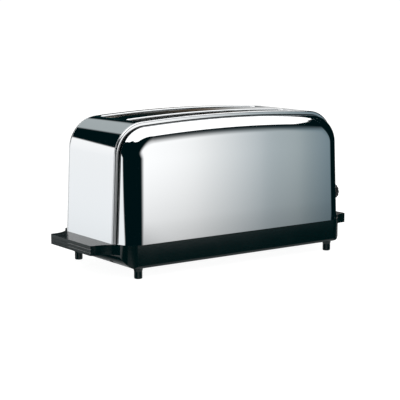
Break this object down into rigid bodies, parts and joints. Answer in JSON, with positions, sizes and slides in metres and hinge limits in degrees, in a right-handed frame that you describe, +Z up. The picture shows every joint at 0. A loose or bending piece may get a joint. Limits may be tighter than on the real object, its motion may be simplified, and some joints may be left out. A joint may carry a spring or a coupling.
{
  "type": "toaster",
  "caption": "Long toaster with side-by-side bread slots in a polished steel shell, on a black base with a carrying ledge at each end; lever, browning knob, cancel button and crumb tray move.",
  "frame": {"origin": "middle of the toaster on the table, under the centre of its box", "axes": "+X along the length towards the controls, +Y to the back, +Z up"},
  "size_m": [0.448, 0.177, 0.211],
  "materials": {
    "polished_steel": "mirror polished stainless steel",
    "black_plastic": "glossy moulded thermoset, near black",
    "control_plastic": "fine-textured moulded ABS, near black",
    "sheet_steel": "zinc-plated sheet",
    "wire_steel": "bright drawn wire and strip",
    "reflector_sheet": "aluminised sheet",
    "mica": "pressed mica sheet",
    "resistance_ribbon": "oxidised resistance alloy",
    "spring_steel": "oiled spring wire",
    "magnet_iron": "plain soft iron",
    "coil_winding": "enamelled copper winding",
    "circuit_board": "solder-masked fibre board",
    "component_plastic": "moulded component bodies",
    "screw_steel": "zinc-plated screws",
    "grommet_rubber": "moulded rubber"
  },
  "bodies": {
    "casing": {"front_side_panel": "polished_steel", "rear_side_panel": "polished_steel", "wrap_band": "polished_steel", "control_panel": "control_plastic", "base": "black_plastic", "front_left_foot": "black_plastic", "front_right_foot": "black_plastic", "rear_left_foot": "black_plastic", "rear_right_foot": "black_plastic", "left_bulkhead": "sheet_steel", "right_bulkhead": "sheet_steel", "front_reflector": "reflector_sheet", "rear_reflector": "reflector_sheet", "front_heater_card": "mica", "centre_heater_card": "mica", "rear_heater_card": "mica", "front_ribbon": "resistance_ribbon", "centre_front_ribbon": "resistance_ribbon", "centre_rear_ribbon": "resistance_ribbon", "rear_ribbon": "resistance_ribbon", "front_outer_guard": "wire_steel", "front_inner_guard": "wire_steel", "rear_inner_guard": "wire_steel", "rear_outer_guard": "wire_steel", "guide_rod": "wire_steel", "rod_bracket": "sheet_steel", "carriage_spring": "spring_steel", "latch_core": "magnet_iron", "latch_coil": "coil_winding", "control_board": "circuit_board", "potentiometer": "component_plastic", "cancel_switch": "component_plastic", "button_spring": "spring_steel", "cord_inlet_grommet": "grommet_rubber", "terminal_block": "component_plastic", "shell_screws": "screw_steel", "bulkhead_screws": "screw_steel", "panel_screws": "screw_steel"},
    "carriage": {"front_bread_rack": "wire_steel", "rear_bread_rack": "wire_steel", "carriage_bracket": "sheet_steel", "lever_arm": "sheet_steel", "lever_knob": "control_plastic", "keeper_plate": "magnet_iron"},
    "knob": {"browning_knob": "control_plastic", "control_shaft": "wire_steel"},
    "button": {"cancel_button": "control_plastic"},
    "tray": {"crumb_tray": "sheet_steel"}
  },
  "joints": [
    {"name": "carriage_slide", "type": "slide", "parent": "casing", "child": "carriage", "axis": [0, 0, -1], "range_m": [0, 0.078], "stiffness_N_per_m": 60, "springref_m": -0.15, "deforming": ["carriage_spring"]},
    {"name": "knob_turn", "type": "hinge", "parent": "casing", "child": "knob", "pos_m": [0.2, -0.041, 0.08], "axis": [1, 0, 0], "range_deg": [-135, 135]},
    {"name": "button_press", "type": "slide", "parent": "casing", "child": "button", "axis": [-1, 0, 0], "range_m": [0, 0.003], "stiffness_N_per_m": 300, "springref_m": -0.003, "deforming": ["button_spring"]},
    {"name": "tray_slide", "type": "slide", "parent": "casing", "child": "tray", "axis": [0, 1, 0], "range_m": [0, 0.12]}
  ]
}
